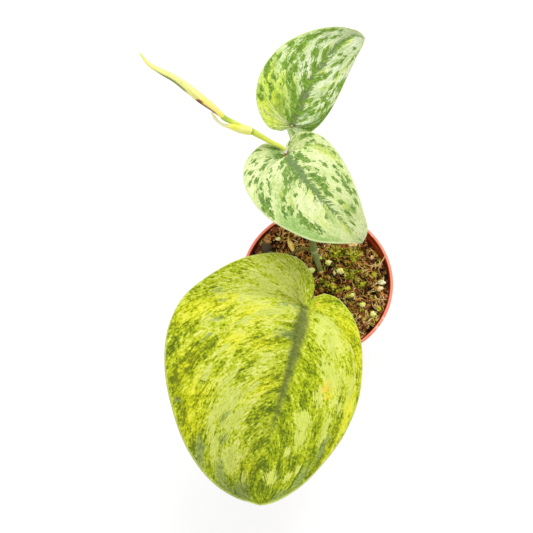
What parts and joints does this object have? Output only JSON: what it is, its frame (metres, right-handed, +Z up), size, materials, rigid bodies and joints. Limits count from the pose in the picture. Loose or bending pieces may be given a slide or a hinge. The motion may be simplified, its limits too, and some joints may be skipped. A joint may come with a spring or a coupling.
{
  "type": "potted scindapsus",
  "caption": "Young satin pothos with variegated heart-shaped leaves and a furled new shoot, planted in a small tapered plastic nursery pot that stands on its flat base.",
  "frame": {"origin": "middle of the pot's flat base, on the surface that it stands on", "axes": "+Z up; -Y the way that the largest leaf leans; +Y the way that the upper leaf points"},
  "size_m": [0.1025, 0.1929, 0.171],
  "materials": {
    "pot_plastic": "thin satin terracotta-coloured nursery plastic",
    "soil": "dry fibrous red-brown peat",
    "stem": "satin green stem",
    "root": "dry brown root",
    "large_leaf": "leathery yellow-green marbled leaf",
    "young_leaf": "leathery green leaf with silvery blotches",
    "new_growth": "smooth pale yellow new growth",
    "moss": "fine green moss",
    "perlite": "white chalky grains",
    "bark": "rough dry bark"
  },
  "bodies": {
    "root": {"aerial_root": "root", "bark_chip_1": "bark", "bark_chip_2": "bark", "bark_chip_3": "bark", "furled_new_leaf": "new_growth", "large_leaf_blade": "large_leaf", "large_leaf_petiole": "stem", "main_stem": "stem", "middle_leaf_blade": "young_leaf", "middle_leaf_petiole": "stem", "moss_cushion_1": "moss", "moss_cushion_2": "moss", "moss_cushion_3": "moss", "moss_cushion_4": "moss", "perlite_grain_1": "perlite", "perlite_grain_2": "perlite", "perlite_grain_3": "perlite", "perlite_grain_4": "perlite", "perlite_grain_5": "perlite", "perlite_grain_6": "perlite", "perlite_grain_7": "perlite", "perlite_grain_8": "perlite", "perlite_grain_9": "perlite", "perlite_grain_10": "perlite", "pot": "pot_plastic", "root_fibre": "root", "shoot_lower_internode": "stem", "shoot_sheath": "new_growth", "shoot_upper_internode": "stem", "soil": "soil", "upper_leaf_blade": "young_leaf", "upper_leaf_petiole": "stem"}
  },
  "joints": []
}
